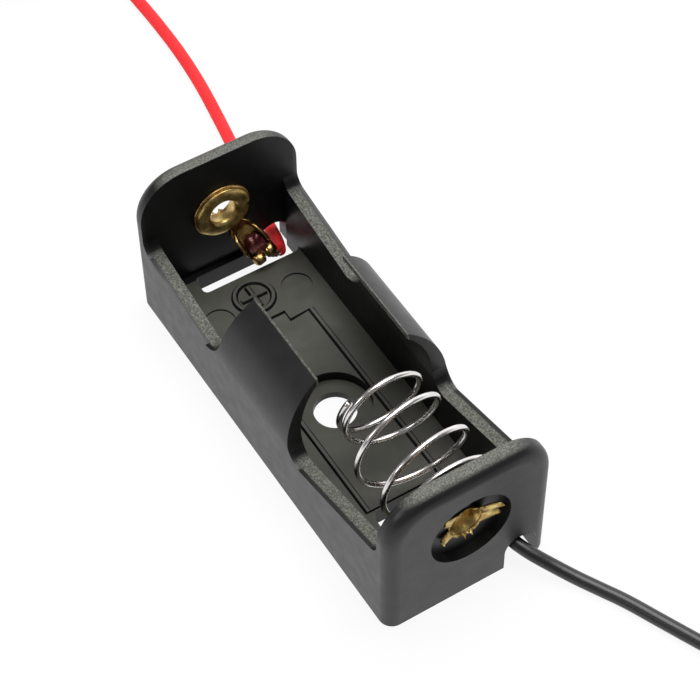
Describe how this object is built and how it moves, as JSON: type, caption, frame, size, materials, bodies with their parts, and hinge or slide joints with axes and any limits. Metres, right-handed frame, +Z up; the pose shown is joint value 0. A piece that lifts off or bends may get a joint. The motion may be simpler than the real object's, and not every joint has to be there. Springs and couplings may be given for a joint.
{
  "type": "cylindrical cell holder",
  "caption": "Open-topped holder for a small cylindrical cell, with clip wings over the bay, a riveted eyelet contact, a riveted coil spring contact, a screw hole and wire leads.",
  "frame": {"origin": "middle of the holder's underside", "axes": "+X towards the spring end, +Y to the side that the leads come out on, +Z up out of the open top"},
  "size_m": [0.1099, 0.0223, 0.0128],
  "materials": {
    "black_plastic": "black moulded plastic, satin outer faces, fine grain on the walls' tops",
    "eyelet_brass": "bright rolled brass",
    "tab_brass": "stamped brass sheet",
    "solder": "solder with a trace of brown flux",
    "nickel_wire": "nickel-plated spring wire",
    "red_insulation": "smooth red lead insulation",
    "black_insulation": "smooth black lead insulation",
    "tinned_core": "tinned stranded copper"
  },
  "bodies": {
    "root": {"holder_body": "black_plastic", "positive_eyelet": "eyelet_brass", "positive_solder_tab": "tab_brass", "positive_solder": "solder", "negative_eyelet": "eyelet_brass", "negative_solder_tab": "tab_brass", "negative_solder": "solder", "contact_spring": "nickel_wire", "red_lead": "red_insulation", "red_lead_coil": "red_insulation", "red_lead_core": "tinned_core", "black_lead": "black_insulation", "black_lead_coil": "black_insulation", "black_lead_core": "tinned_core"}
  },
  "joints": []
}
